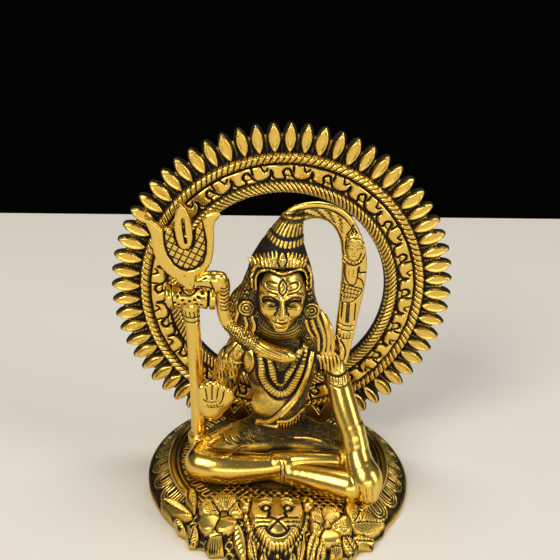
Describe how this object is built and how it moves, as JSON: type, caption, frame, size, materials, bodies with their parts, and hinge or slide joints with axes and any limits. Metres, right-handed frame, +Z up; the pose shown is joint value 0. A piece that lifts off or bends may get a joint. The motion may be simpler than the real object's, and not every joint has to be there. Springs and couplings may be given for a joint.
{
  "type": "seated shiva figure with halo ring",
  "caption": "Cast brass figure of a seated ascetic deity with trident and cobra on a round lotus base, with an open halo ring of petals behind it.",
  "frame": {"origin": "on the surface that the part stands on, under the middle of its outline", "axes": "+Z up, +X to the right of a viewer who faces the figure, +Y towards the back"},
  "size_m": [0.14, 0.1138, 0.1496],
  "materials": {
    "base_brass": "antique gold tone, dark patina in the recesses, polished high spots",
    "figure_brass": "polished antique gold tone, dark patina in the recesses",
    "ring_brass": "polished antique gold tone, dark patina in the recesses"
  },
  "bodies": {
    "root": {"base": "base_brass", "shiva_figure": "figure_brass", "halo_ring": "ring_brass"}
  },
  "joints": []
}
